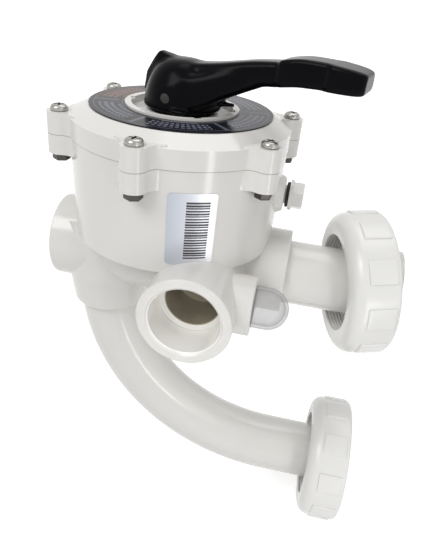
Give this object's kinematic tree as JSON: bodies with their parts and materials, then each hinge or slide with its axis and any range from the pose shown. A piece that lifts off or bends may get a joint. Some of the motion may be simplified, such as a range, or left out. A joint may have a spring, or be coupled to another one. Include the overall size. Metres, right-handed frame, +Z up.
{
  "type": "pool filter multiport valve",
  "caption": "Side-mount backwash valve with lever handle, socket ports, sight glass, a straight pipe and a swept elbow, each ending in a flanged face with a loose union nut.",
  "frame": {"origin": "centre of the upper union's sealing face, where the upper pipe meets the filter tank", "axes": "+X along the pipes towards the filter tank, +Z up along the rotor axis, -Y towards the waste port"},
  "size_m": [0.3282, 0.2316, 0.4981],
  "materials": {
    "ivory_plastic": "glossy moulded ABS, warm white",
    "nut_plastic": "glossy moulded ABS, slightly whiter than the body",
    "black_plastic": "glossy black glass-filled plastic",
    "label_black": "glossy printed plate",
    "silver_foil": "satin metallised sticker",
    "stainless_steel": "bright stainless",
    "dark_steel": "dull dark nut",
    "black_rubber": "matte black rubber",
    "clear_plastic": "clear moulded plastic",
    "rotor_plastic": "grey filled plastic",
    "slip_plastic": "white low-friction plastic"
  },
  "bodies": {
    "valve": {"valve_body": "ivory_plastic", "lid": "ivory_plastic", "lid_o_ring": "black_rubber", "lid_bolts": "stainless_steel", "lid_nuts": "dark_steel", "position_label": "label_black", "data_sticker": "silver_foil", "sight_glass": "clear_plastic", "sight_glass_gasket": "black_rubber", "gauge_plug": "ivory_plastic", "plug_o_ring": "black_rubber", "upper_pipe": "ivory_plastic", "lower_elbow": "ivory_plastic", "upper_union_o_ring": "black_rubber", "lower_union_o_ring": "black_rubber", "spider_gasket": "black_rubber", "upper_spring_washer": "stainless_steel"},
    "turning_washer": {"handle_washer": "slip_plastic"},
    "rotor": {"rotor": "rotor_plastic", "stem_o_rings": "black_rubber", "lower_spring_washer": "stainless_steel", "rotor_spring": "stainless_steel", "handle_pin": "stainless_steel"},
    "handle": {"handle": "black_plastic"},
    "upper_nut": {"upper_union_nut": "nut_plastic"},
    "lower_nut": {"lower_union_nut": "nut_plastic"}
  },
  "joints": [
    {"name": "handle_turn", "type": "hinge", "parent": "valve", "child": "turning_washer", "pos_m": [-0.215, 0, 0.142], "axis": [0, 0, 1], "continuous": true},
    {"name": "rotor_lift", "type": "slide", "parent": "turning_washer", "child": "rotor", "axis": [0, 0, 1], "range_m": [0, 0.005], "stiffness_N_per_m": 3000, "springref_m": -0.0133, "deforming": ["rotor_spring"]},
    {"name": "handle_press", "type": "hinge", "parent": "rotor", "child": "handle", "pos_m": [-0.215, 0, 0.153], "axis": [0.2419, 0.9703, 0], "range_deg": [0, 10]},
    {"name": "upper_nut_spin", "type": "hinge", "parent": "valve", "child": "upper_nut", "pos_m": [-0.0575, -0.0053, 0], "axis": [0.9645, 0.2494, 0.0872], "continuous": true},
    {"name": "lower_nut_spin", "type": "hinge", "parent": "valve", "child": "lower_nut", "pos_m": [-0.0445, 0, -0.23295], "axis": [1, 0, 0], "continuous": true}
  ],
  "couplings": [
    {"joint": "handle_press", "follows": "rotor_lift", "rad_per_m": 33.6}
  ]
}
